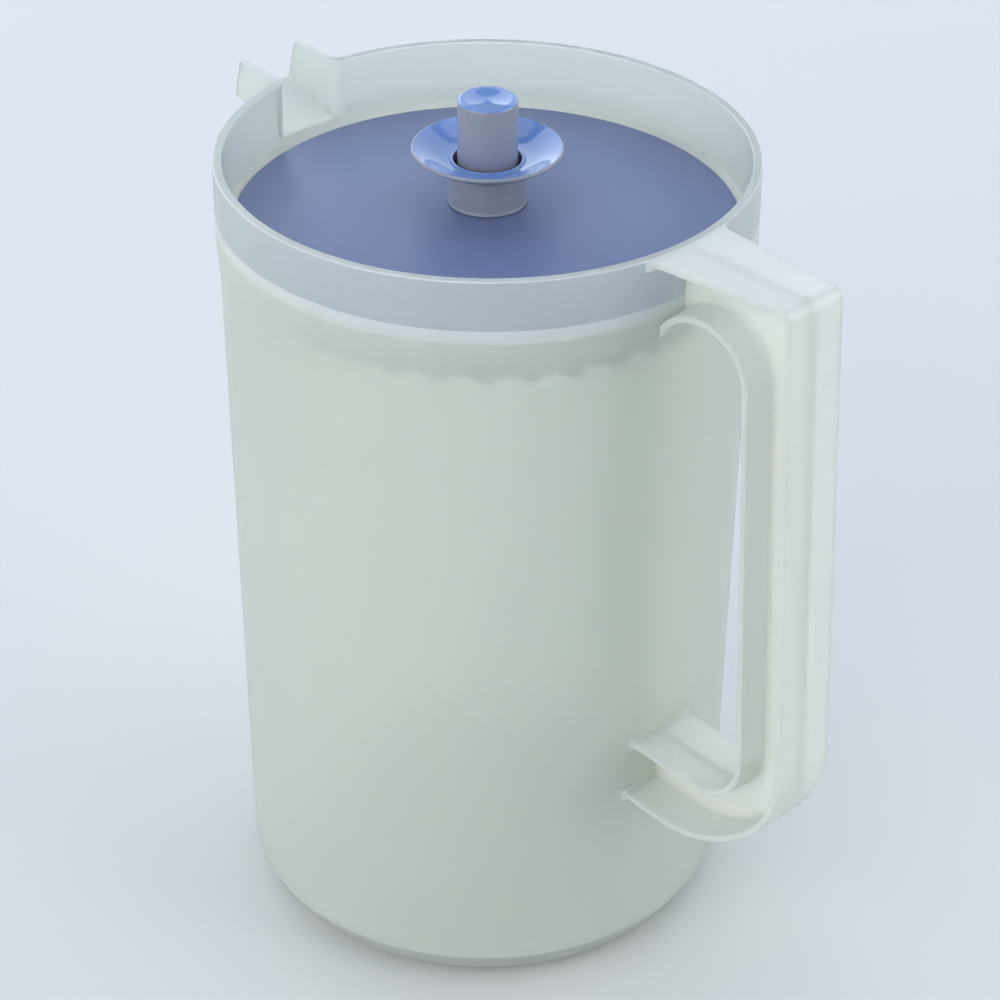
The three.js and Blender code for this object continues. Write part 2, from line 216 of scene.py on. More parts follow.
def bake(piece: Piece) -> None:
    """Turns a piece's modifiers into its mesh."""
    graph = bpy.context.evaluated_depsgraph_get()
    result = bpy.data.meshes.new_from_object(piece.evaluated_get(graph))
    piece.modifiers.clear()
    piece.data = result


def combine(base: Piece, tool: Piece, cut: Cut) -> Piece:
    """Joins, cuts or trims a solid by another, which is used up.

    Args:
        base: the solid that is kept.
        tool: the solid that works on it.
        cut: what the tool does.

    Returns:
        The base, with its new mesh.
    """
    modifier = base.modifiers.new(cut.name, "BOOLEAN")
    modifier.operation = cut.value
    modifier.solver = "MANIFOLD"
    modifier.object = tool
    bake(base)
    bpy.data.objects.remove(tool)
    return base


def smooth(piece: Piece, edge_angle: float) -> None:
    """Shades a piece smoothly, weighted by face area, with a crease at each sharper edge.

    Args:
        piece: the finished piece.
        edge_angle: edges that turn further than this many degrees stay sharp.
    """
    piece.data.shade_smooth()
    piece.data.set_sharp_from_angle(angle=math.radians(edge_angle))
    piece.modifiers.new("weighted", "WEIGHTED_NORMAL").keep_sharp = True
    bake(piece)


def flare(distance: float, size: float) -> float:
    """How far a quarter-round of a size stands out at a distance from the wall it runs into."""
    run = min(max(size - distance, 0.0), size)
    return size - math.sqrt(size * size - run * run)


def chord(radius: float, half_width: float) -> float:
    """How far from the axis a strip of a half width enters a round wall."""
    return math.sqrt(radius * radius - half_width * half_width)


def corner_round(wall: float, half_width: float, size: float, steps: int) -> Outline:
    """The round in the corner between a round wall and a strip that runs out of it.

    Args:
        wall: the wall's radius.
        half_width: half the strip's width.
        size: the round's radius.
        steps: how many steps it has.

    Returns:
        Points from the strip's side to the wall.
    """
    centre_y = half_width + size
    centre_x = chord(wall + size, centre_y)
    facing = math.degrees(math.atan2(-centre_y, -centre_x))
    return arc((centre_x, centre_y), size, -90, facing, steps)


@dataclass(frozen=True)
class Line:
    """A straight line in a plane: a point on it and its normal's angle in degrees."""

    point: Point
    angle: float


def round_centre(first: Line, second: Line, radius: float) -> Point:
    """The centre of a round that touches two lines from behind their normals."""
    moved = []
    for line in (first, second):
        nx, ny = math.cos(math.radians(line.angle)), math.sin(math.radians(line.angle))
        moved.append((nx, ny, nx * line.point[0] + ny * line.point[1] - radius))
    (ax, ay, a), (bx, by, b) = moved
    det = ax * by - ay * bx
    return (a * by - b * ay) / det, (b * ax - a * bx) / det


# Finishes


def fill(node: bpy.types.Node, values: dict[str, float | tuple[float, ...]]) -> None:
    """Sets a node's inputs by their names."""
    for name, value in values.items():
        node.inputs[name].default_value = value


def colour_mix(nodes: bpy.types.Nodes, first: Triple, second: Triple) -> bpy.types.Node:
    """A node that goes from a first colour to a second one by its factor."""
    mix = nodes.new("ShaderNodeMix")
    mix.data_type = "RGBA"
    fill(mix, {"A": (*first, 1), "B": (*second, 1)})
    return mix


class GrainGroup:
    """The shared surface effect of moulded plastic: fine grain, and soft uneven tone."""

    NAME = "moulded_grain"

    @staticmethod
    def tree() -> bpy.types.NodeTree:
        """Builds the group once.

        Returns:
            The group, with inputs Grain Scale and Tone Scale, and outputs Grain and Tone.
        """
        known = bpy.data.node_groups.get(GrainGroup.NAME)
        if known:
            return known
        tree = bpy.data.node_groups.new(GrainGroup.NAME, "ShaderNodeTree")
        for name in ("Grain Scale", "Tone Scale"):
            tree.interface.new_socket(name, in_out="INPUT", socket_type="NodeSocketFloat")
        for name in ("Grain", "Tone"):
            tree.interface.new_socket(name, in_out="OUTPUT", socket_type="NodeSocketFloat")
        nodes, links = tree.nodes, tree.links
        inlet = nodes.new("NodeGroupInput")
        outlet = nodes.new("NodeGroupOutput")
        place = nodes.new("ShaderNodeTexCoord")
        for label, detail in (("Grain", 3.0), ("Tone", 2.0)):
            noise = nodes.new("ShaderNodeTexNoise")
            fill(noise, {"Detail": detail})
            links.new(place.outputs["Object"], noise.inputs["Vector"])
            links.new(inlet.outputs[f"{label} Scale"], noise.inputs["Scale"])
            links.new(noise.outputs["Fac"], outlet.inputs[label])
        return tree


@dataclass(frozen=True)
class Plastic:
    """A moulded plastic: its colour, grain and gloss, and how it lets light through."""

    name: str
    colour: Triple
    shade: Triple
    roughness: float
    roughness_swing: float = 0.04
    grain_scale: float = 1800.0
    grain_depth: float = 0.02
    bump: float = 0.5
    tone_scale: float = 12.0
    ior: float = 1.49
    transmission: float = 0.0
    scatter: float = 0.0
    scatter_depth: float = 0.004
    scatter_tint: Triple = (1.0, 1.0, 0.9)
    coat: float = 0.0
    coat_roughness: float = 0.05

    def material(self) -> bpy.types.Material:
        """Makes the material.

        Returns:
            A material whose grain feeds bump and roughness and whose tone feeds its colour.
        """
        made = bpy.data.materials.new(self.name)
        made.use_nodes = True
        nodes, links = made.node_tree.nodes, made.node_tree.links
        shader = nodes["Principled BSDF"]
        grain = nodes.new("ShaderNodeGroup")
        grain.node_tree = GrainGroup.tree()
        fill(grain, {"Grain Scale": self.grain_scale, "Tone Scale": self.tone_scale})
        tint = colour_mix(nodes, self.shade, self.colour)
        links.new(grain.outputs["Tone"], tint.inputs["Factor"])
        links.new(tint.outputs["Result"], shader.inputs["Base Color"])
        gloss = nodes.new("ShaderNodeMapRange")
        swing = self.roughness_swing
        fill(gloss, {"To Min": self.roughness - swing, "To Max": self.roughness + swing})
        links.new(grain.outputs["Grain"], gloss.inputs["Value"])
        links.new(gloss.outputs["Result"], shader.inputs["Roughness"])
        bump = nodes.new("ShaderNodeBump")
        fill(bump, {"Strength": self.bump, "Distance": self.grain_depth * MM})
        links.new(grain.outputs["Grain"], bump.inputs["Height"])
        links.new(bump.outputs["Normal"], shader.inputs["Normal"])
        fill(shader, {
            "Transmission Weight": self.transmission,
            "Subsurface Weight": self.scatter,
            "Subsurface Radius": self.scatter_tint,
            "Subsurface Scale": self.scatter_depth,
            "IOR": self.ior,
            "Coat Weight": self.coat,
            "Coat Roughness": self.coat_roughness,
        })
        return made


FROSTED = Plastic(
    "frosted_natural", colour=(0.91, 0.98, 0.86), shade=(0.895, 0.97, 0.84), roughness=0.34,
    grain_scale=1400.0, transmission=0.58, scatter=0.9, scatter_depth=0.006,
)
FROSTED_THIN = replace(
    FROSTED, name="frosted_collar", colour=(0.88, 0.94, 0.885), shade=(0.865, 0.93, 0.865),
    transmission=0.72,
)
# Whiter and less clear. On the thick handle, floor and seat it is partly the thick plastic and
# partly painted light lifting the handle's shaded faces. On the rim's rounds and the band above the
# seat it is a painted highlight.
FROSTED_THICK_AND_HIGHLIGHT = replace(
    FROSTED, name="frosted_thick_and_highlight", colour=(0.95, 0.985, 0.91), shade=(0.935, 0.975, 0.89),
    transmission=0.5, scatter_depth=0.0025,
)
SATIN_BLUE = Plastic(
    "satin_blue", colour=(0.152, 0.196, 0.365), shade=(0.138, 0.178, 0.335), roughness=0.4,
    grain_depth=0.06, grain_scale=1500.0,
)
# The knob's blue plastic comes in two painted copies. This greyer one, on its sides, neck and
# underside, is painted shade. The bluer, glossier one below, on the faces that look up, holds a
# painted reflection of the blue sky.
SATIN_GRIP_PAINTED_SHADE = Plastic(
    "satin_grip_painted_shade", colour=(0.270, 0.285, 0.365), shade=(0.260, 0.275, 0.350), roughness=0.27,
    roughness_swing=0.02, grain_depth=0.004, grain_scale=4000.0,
)
GLOSS_BLUE_PAINTED_SKY = Plastic(
    "gloss_blue_painted_sky", colour=(0.15, 0.27, 0.60), shade=(0.145, 0.26, 0.57), roughness=0.08,
    roughness_swing=0.02, grain_depth=0.002, coat=0.4,
)
# The seal's natural plastic is painted dark grey as the shade it casts against the light from
# inside the jug, so its skirt shows through the frosted wall. The web shares it.
NATURAL_PAINTED_SHADE = Plastic(
    "soft_natural_painted_shade", colour=(0.28, 0.275, 0.26), shade=(0.26, 0.255, 0.24), roughness=0.55,
    scatter=0.3, scatter_depth=0.002,
)


# Jug


@dataclass(frozen=True)
class Station:
    """One station of a flange: its face's point and normal in XZ, and its section's sizes.

    Lift and deepen thicken it out and in, for rounds into the wall.
    """

    point: Point
    angle: float
    half_width: float
    lift: float = 0.0
    deepen: float = 0.0

    def place(self, depth: float, y: float) -> Vector:
        """The point at a depth below the face and a distance from the middle plane."""
        nx, nz = math.cos(math.radians(self.angle)), math.sin(math.radians(self.angle))
        return Vector((self.point[0] - nx * depth, y, self.point[1] - nz * depth))


def turning(
    centre: Point, radius: float, start: float, end: float, steps: int
) -> list[tuple[Point, float, float]]:
    """An arc's points, each with its angle in degrees and its share of the way."""
    points = arc(centre, radius, start, end, steps)
    return [(point, start + (end - start) * s, s) for point, s in zip(points, shares(steps))]


@dataclass
class JugMoulding:
    """The frosted one-piece jug: wall, foot, collar, seat, spout and handle."""

    height: float = 260.0
    rim_radius: float = 82.3
    foot_radius: float = 77.8
    wall: float = 2.6
    wall_rows: tuple[int, ...] = (40, 70, 100, 130, 160, 190, 210)
    hollow_rows: tuple[int, ...] = (40, 80, 120, 160, 200)
    floor: float = 3.2
    base_corner: float = 14.0
    foot_ring: float = 6.0
    foot_recess: float = 0.8
    foot_chamfer: float = 0.8
    seam_angle: float = -10.0
    seam_ridge: float = 0.3
    seam_dip: Pair = (-60.0, -45.0)
    seam_step: float = 0.8
    seam_crest: float = 1.0
    seam_fade: float = 3.0
    collar_height: float = 24.0
    collar_step: float = 0.5
    collar_run: float = 13.0
    collar_wall: float = 2.8
    collar_draft: float = 0.1
    rim_round: float = 0.5
    seat_depth: float = 20.5
    seat_width: float = 3.8
    seat_drop: float = 2.4
    seat_edge: float = 0.3
    throat_edge: float = 0.2
    throat_height: float = 2.0
    throat_blend: float = 4.0
    ring_rise: float = 0.6
    # The height of the painted highlight band on the wall just above the seat.
    ring_glow: float = 4.2
    crease: float = 33.0
    sides: int = 288

    stand_off: float = 47.15
    grip_depth: float = 18.1
    lean: float = 0.045
    grip_half: float = 11.2
    flange: float = 2.5
    flange_root: float = 3.0
    crown: float = 0.3
    edge_round: float = 0.5
    web: float = 3.2
    web_round: float = 0.8
    web_bite: float = 0.06
    root_inside: float = 6.0
    flare_lead: float = 1.0
    top_rows: Pair = (24.0, 12.0)
    top_sink: float = 0.02
    top_taper: float = 0.08
    top_corner: float = 4.0
    top_flare: float = 4.0
    arch_drop: float = 17.4
    arch_lead: float = 0.6
    inner_bend: float = 14.0
    outer_bend: float = 37.5
    arm_bottom: float = 67.2
    arm_height: float = 21.1
    arm_slope: float = 0.09
    arm_widen: float = 3.9
    arm_top_widen: float = 1.2
    arm_flare: float = 2.4
    wall_round: float = 1.4
    cove_rise: float = 8.4
    cove_tuck: float = 1.0
    cove_in_web: float = 0.4
    cove_in_wall: float = 1.5

    spout_reach: float = 16.8
    spout_half: float = 10.5
    spout_wall: float = 1.9
    spout_round: float = 0.8
    spout_under: float = 5.0
    spout_slope: float = 0.35
    mouth_lean: float = 0.25
    tip_rise: float = 0.7
    spout_blend: float = 3.0

    def __post_init__(self) -> None:
        """Works out the radii, heights and angles that follow from the sizes.

        The throat is the way in past the seat, the ring is a painted highlight band on the wall
        just above the seat, and the taper is how much the wall's radius grows for each millimetre.
        """
        self.collar_inner = self.rim_radius - self.collar_wall
        self.collar_base = self.height - self.collar_height - self.collar_run
        self.seat_outer = self.collar_inner - self.collar_draft
        self.seat_top = self.height - self.seat_depth
        self.throat = self.seat_outer - self.seat_width
        self.throat_top = self.seat_top - self.seat_drop
        self.ring_low = self.seat_top + self.ring_rise
        self.ring_high = self.ring_low + self.ring_glow
        self.seam_height = self.base_corner * (1 + math.sin(math.radians(self.seam_angle)))
        self.taper = (self.rim_radius - self.collar_step - self.foot_radius) / self.height
        self.grip_x = self.rim_radius + self.stand_off
        self.lean_angle = math.degrees(math.atan(self.lean))
        self.under_angle = -90 - math.degrees(math.atan(self.arm_slope))
        self.arm_top = self.arm_bottom + self.arm_height

    def radius_at(self, z: float) -> float:
        """The wall's outer radius at a height."""
        return self.foot_radius + self.taper * z

    def outside(self) -> Piece:
        """The jug's outer shape as a solid, with its foot, collar and rounded rim."""
        flat = self.radius_at(self.base_corner) - self.base_corner
        recess = flat - self.foot_ring
        low, wall_top = self.collar_base, self.radius_at(self.collar_base)
        rise = self.rim_radius - wall_top
        rim = (self.rim_radius - self.rim_round, self.height - self.rim_round)
        corner, bend = (flat, self.base_corner), self.base_corner
        seam, ridge = self.seam_angle, self.seam_ridge
        outline = [(0.0, self.foot_recess), (recess - self.foot_chamfer, self.foot_recess)]
        outline += [(recess, 0.0)]
        outline += arc(corner, bend, -90, self.seam_dip[0], 6)
        outline += arc(corner, bend - ridge, self.seam_dip[1], seam - self.seam_step, 6)
        outline += arc(corner, bend + ridge / 2, seam, seam + self.seam_crest, 1)
        outline += arc(corner, bend, seam + self.seam_fade, 0, 6)
        outline += [(self.radius_at(z), z) for z in self.wall_rows]
        outline += [(wall_top + rise * ease(s), low + self.collar_run * s) for s in shares(16)]
        outline += [(self.rim_radius, z) for z in (self.ring_low, self.ring_high)]
        outline += arc(rim, self.rim_round, 0, 90, 6)
        outline += [(0.0, self.height)]
        return lathe("pitcher_body_fine", outline, self.sides)

    def cavity(self) -> Piece:
        """The hollow: inside, throat, seat and collar, open upwards."""
        corner = self.base_corner - self.wall
        corner_top = self.floor + corner
        centre = (self.radius_at(corner_top) - self.wall - corner, corner_top)
        low = self.throat_top - self.throat_height - self.throat_blend
        below = self.radius_at(low) - self.wall
        rim = (self.collar_inner + self.rim_round, self.height - self.rim_round)
        edge, top = self.seat_edge, self.height + OVERRUN
        outline = [(0.0, self.floor)] + arc(centre, corner, -90, 0, 16)
        outline += [(self.radius_at(z) - self.wall, z) for z in self.hollow_rows]
        for share in shares(6):
            radius = below + (self.throat - below) * math.sin(math.pi / 2 * share) ** 2
            outline.append((radius, low + self.throat_blend * share))
        outline += [(self.throat, self.throat_top - edge)]
        outline += [(self.throat + self.throat_edge, self.throat_top)]
        outline += [(self.seat_outer - edge, self.seat_top - edge / 2)]
        outline += [(self.seat_outer, self.seat_top + edge)]
        outline += arc(rim, self.rim_round, 180, 90, 6)
        outline += [(rim[0], top), (0.0, top)]
        return lathe("cavity", outline, self.sides)

    # Handle

    def arm_line(self, height: float) -> Line:
        """The line of an arm's face that meets the wall's foot radius at a height."""
        return Line((self.foot_radius, height), self.under_angle)

    def arm_run(self, height: float, half_width: float, turn: float) -> list[Station]:
        """An arm's flange from the grip's side into the wall, flared and rounded there.

        Args:
            height: the height at which its face meets the foot radius.
            half_width: half its width away from the wall.
            turn: 0 for the face below the arm, 180 for the face above it.

        Returns:
            The stations, the last of them inside the wall.
        """
        wall_x = chord(self.radius_at(height), half_width + self.arm_flare)
        near_x = chord(self.radius_at(height), self.grip_half)
        lead = self.arm_flare + self.flare_lead
        places = [wall_x + lead * (1 - share) for share in shares(10)]
        made = []
        for x in [*places, wall_x - self.root_inside]:
            point = (x, height - self.arm_slope * (x - self.foot_radius))
            wide = half_width + flare(x - wall_x, self.arm_flare)
            inward = flare(x - near_x, self.wall_round)
            made.append(Station(point, self.under_angle + turn, wide, inward, inward))
        return made

    def outer_track(self) -> list[Station]:
        """The outer flange's stations: the top, the grip, the big bend and under the arm."""
        half, lean, under = self.grip_half, self.lean_angle, self.under_angle
        widest = half + self.top_taper * self.stand_off + self.top_flare
        rim_x, root_x = chord(self.rim_radius, widest), chord(self.rim_radius, half)
        grip = Line((self.grip_x, self.height), lean)
        corner = round_centre(grip, Line((0.0, self.height), 90), self.top_corner)
        bend = round_centre(grip, self.arm_line(self.arm_bottom), self.outer_bend)
        places = [rim_x - self.root_inside, rim_x - self.flare_lead]
        places += [rim_x + (self.top_flare + self.flare_lead) * share for share in shares(10)]
        places += [self.grip_x - back for back in self.top_rows]
        track = []
        for x in places:
            widen = self.top_taper * (self.grip_x - x) + flare(x - rim_x, self.top_flare)
            deepen = flare(x - root_x, self.wall_round)
            point = (x, self.height - self.top_sink)
            track.append(Station(point, 90, half + widen, 0, deepen))
        for point, angle, _ in turning(corner, self.top_corner, 90, lean, 8):
            track.append(Station(point, angle, half))
        for point, angle, share in turning(bend, self.outer_bend, lean, under, 32):
            track.append(Station(point, angle, half + self.arm_widen * max(0.0, 2 * share - 1)))
        return track + self.arm_run(self.arm_bottom, half + self.arm_widen, 0)

    def inner_track(self) -> list[Station]:
        """The inner flange's stations: the arch over the fingers, the grip and the arm."""
        half, lean, under = self.grip_half, self.lean_angle, self.under_angle
        arch_top = self.height - self.arch_drop
        wall_x = chord(self.radius_at(arch_top), half)
        face_x = self.grip_x - self.grip_depth + self.lean * self.arch_drop
        arch = (face_x - wall_x) / (2 - self.lean - self.taper)
        centre = (wall_x + arch * (1 - self.taper), arch_top - arch)
        grip = Line((self.grip_x - self.grip_depth, self.height), lean)
        bend = round_centre(grip, self.arm_line(self.arm_top), self.inner_bend)
        track = []
        for point, angle, _ in turning(centre, arch, 180, lean, 36):
            widen = flare(point[0] - wall_x + self.arch_lead, self.arm_flare)
            track.append(Station(point, angle + 180, half + widen))
        for point, angle, share in turning(bend, self.inner_bend, lean, under, 24):
            track.append(Station(point, angle + 180, half + self.arm_top_widen * share))
        return track + self.arm_run(self.arm_top, half + self.arm_top_widen, 180)

    def flange_ring(self, station: Station) -> list[Vector]:
        """A flange's section: crowned face, rounded edges, and a round into the web."""
        lift, edge, bend, web = station.lift, self.edge_round, self.web_round, self.web / 2
        flat = station.half_width - edge
        low, root = self.flange + station.deepen, self.flange_root + station.deepen
        side = [(share * flat, self.crown * share * share - lift) for share in shares(5)[1:-1]]
        side += arc((flat, self.crown + edge - lift), edge, -90, 0, 4)
        side += arc((flat, low - edge), edge, 0, 90, 4)
        side += arc((web + bend, root + bend), bend, -90, -180, 7)
        y, depth = side.pop()
        side.append((y - self.web_bite, depth))
        mirrored = [(-y, depth) for y, depth in reversed(side)]
        return [station.place(depth, y) for y, depth in [(0.0, -lift), *side, *mirrored]]

    def web_plate(self) -> Piece:
        """The thin web between the two flanges."""
        tracks = [*self.outer_track(), *reversed(self.inner_track())]
        middles = [station.place(self.flange / 2, 0) for station in tracks]
        return side_plate("web", [(middle.x, middle.z) for middle in middles], self.web / 2)

    def cove(self, low: float, high: float, side: int) -> Piece:
        """A round along the corner between the web and the wall.

        Args:
            low: the height it starts at.
            high: the height it ends at.
            side: 1 or -1, the side of the web it is on.

        Returns:
            The solid that fills the corner.
        """
        rings = []
        web = self.web / 2
        in_web = web - self.cove_in_web
        for z in (low, high):
            points = corner_round(self.radius_at(z), web, self.wall_round, 8)
            in_wall = self.radius_at(z) - self.cove_in_wall
            corner = [(points[0][0], in_web), (in_wall, in_web), (in_wall, points[-1][1])]
            rings.append([Vector((x, side * y, z)) for x, y in [*corner, *points[::-1]]])
        return loft("cove", rings)

    def add_handle(self, body: Piece) -> None:
        """Joins the flanges, the web and its rounds to the jug."""
        outer, inner = self.outer_track(), self.inner_track()
        for track in (outer, inner):
            combine(body, loft("flange", [self.flange_ring(s) for s in track]), Cut.JOIN)
        combine(body, self.web_plate(), Cut.JOIN)
        arch_end, tuck = inner[0].point[1] + self.cove_rise, self.cove_tuck
        for side in (1, -1):
            combine(body, self.cove(arch_end, self.height - tuck, side), Cut.JOIN)
            combine(body, self.cove(self.arm_bottom + tuck, self.arm_top - tuck, side), Cut.JOIN)

    # Spout

    def channel(self, half: float, rounding: float, below: float) -> Piece:
        """A long trough shape along the spout's climbing floor, open upwards.

        Args:
            half: half the floor's width.
            rounding: the radius of its lower corners.
            below: how far it lies below the channel's floor.

        Returns:
            The trough as a solid.
        """
        reach = self.rim_radius
        outline = [(half, reach)]
        outline += arc((half - rounding, rounding), rounding, 0, -90, 14)
        outline += arc((rounding - half, rounding), rounding, -90, -180, 14)
        outline += [(-half, reach)]
        turn = Matrix.Rotation(math.atan(self.spout_slope), 3, "Y")
        shift = Vector((-self.seat_outer, 0, self.seat_top - below))
        rings = [[turn @ Vector((x, y, z)) + shift for y, z in outline] for x in (-reach, reach)]
        return loft("channel", rings)

    def spout_corners(
        self, half: float, face: float, radius: float, innermost: float, heights: Pair
    ) -> list[Piece]:
        """Columns in the corners between a face of the collar and the channel's two sides.

        Args:
            half: half the channel's width at the rim.
            face: the radius of the collar's face.
            radius: the radius of the round on each column's outer side.
            innermost: how far from the axis each column starts.
            heights: the heights of their lower and upper ends.

        Returns:
            The two columns, one on each side.
        """
        points = corner_round(face, half, radius, 14)
        outline = [(innermost, 0.0), (points[0][0], 0.0), *points]
        columns = []
        for side in (1, -1):
            rings = [[Vector((-x, side * y, z)) for x, y in outline] for z in heights]
            columns.append(loft("corner", rings))
        return columns

    def add_spout(self, body: Piece) -> None:
        """Joins the channel spout and its rounds to the collar, without its hollow yet."""
        low, rim, top = self.height - self.collar_height, self.height, self.height + self.tip_rise
        half, inner = self.spout_half + self.spout_wall, self.collar_inner
        mouth = self.rim_radius + self.spout_reach
        side_view = [(-inner, low), (-inner, rim), (-self.rim_radius, rim)]
        side_view += [(-(mouth + self.mouth_lean * (rim - z)), z) for z in (top, low)]
        shell = self.channel(half, self.spout_under, self.spout_wall)
        combine(shell, side_plate("side", side_view, self.rim_radius), Cut.KEEP)
        combine(body, shell, Cut.JOIN)
        blend = self.spout_blend
        for corner in self.spout_corners(half, self.rim_radius, blend, inner, (low, rim)):
            under = self.channel(half + blend, self.spout_under + blend, self.spout_wall)
            combine(body, combine(corner, under, Cut.KEEP), Cut.JOIN)

    def hollow_spout(self, body: Piece) -> None:
        """Cuts the channel and the rounds that lead the collar's inside into it."""
        low, top = self.seat_top, self.height + self.tip_rise + OVERRUN
        reach = 2 * (self.rim_radius + self.spout_reach)
        keep = [(-self.throat, low), (-self.throat, top), (-reach, top), (-reach, low)]
        half, bend = self.spout_half, self.spout_round
        hollow = self.channel(half, bend, 0)
        combine(hollow, side_plate("keep", keep, 2 * half), Cut.KEEP)
        radius = self.spout_blend + self.spout_wall
        for corner in self.spout_corners(half, self.collar_inner, radius, self.throat, (low, top)):
            over = self.channel(half + radius + bend, bend, 0)
            combine(hollow, combine(corner, over, Cut.KEEP), Cut.JOIN)
        combine(body, hollow, Cut.REMOVE)

    def finish_at(self, place: Vector) -> int:
        """Which finish a place on the jug's surface has.

        Args:
            place: a point of the surface, in millimetres.

        Returns:
            0 on the wall, 1 on the collar, the spout and the base below its parting line, and
            2, the whiter finish, on the thick places: handle, floor and seat; 2 is also a painted
            highlight on the rim's rounds and on a band of the wall just above the seat.
        """
        out, z = math.hypot(place.x, place.y), place.z
        wall = self.radius_at(z) if z < self.collar_base else self.rim_radius
        # The handle: thick plastic, whiter, partly real and partly painted light on its shaded
        # faces.
        if place.x > 0 and out > wall + NEAR:
            return 2
        # The rim's rounds take the whiter finish as a painted highlight along both edges.
        if z > self.height - self.rim_round:
            return 1 if abs(z - self.height) < SAME else 2
        if z < self.base_corner:
            inner = self.radius_at(self.base_corner) - self.wall
            inside = out < inner and z > self.floor - NEAR
            return 2 if inside else 1 if z < self.seam_height else 0
        if out < self.collar_inner + self.rim_round:
            return 1 if z > self.seat_top else 2 if z > self.throat_top else 0
        # A band of the wall just above the seat takes the whiter finish as a painted highlight.
        return 1 if z > self.ring_high else 2 if z > self.ring_low else 0

    def build(self) -> Piece:
        """Builds the jug's mesh as one closed solid.

        Returns:
            The finished piece, dressed in frosted plastic.
        """
        body = self.outside()
        self.add_handle(body)
        self.add_spout(body)
        combine(body, self.cavity(), Cut.REMOVE)
        self.hollow_spout(body)
        smooth(body, self.crease)
        body.data.materials.clear()
        for finish in (FROSTED, FROSTED_THIN, FROSTED_THICK_AND_HIGHLIGHT):
            body.data.materials.append(finish.material())
        for face in body.data.polygons:
            face.material_index = self.finish_at(face.center / MM)
        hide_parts("pitcher_body")
        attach(body, "jug")
        return body


# Lid


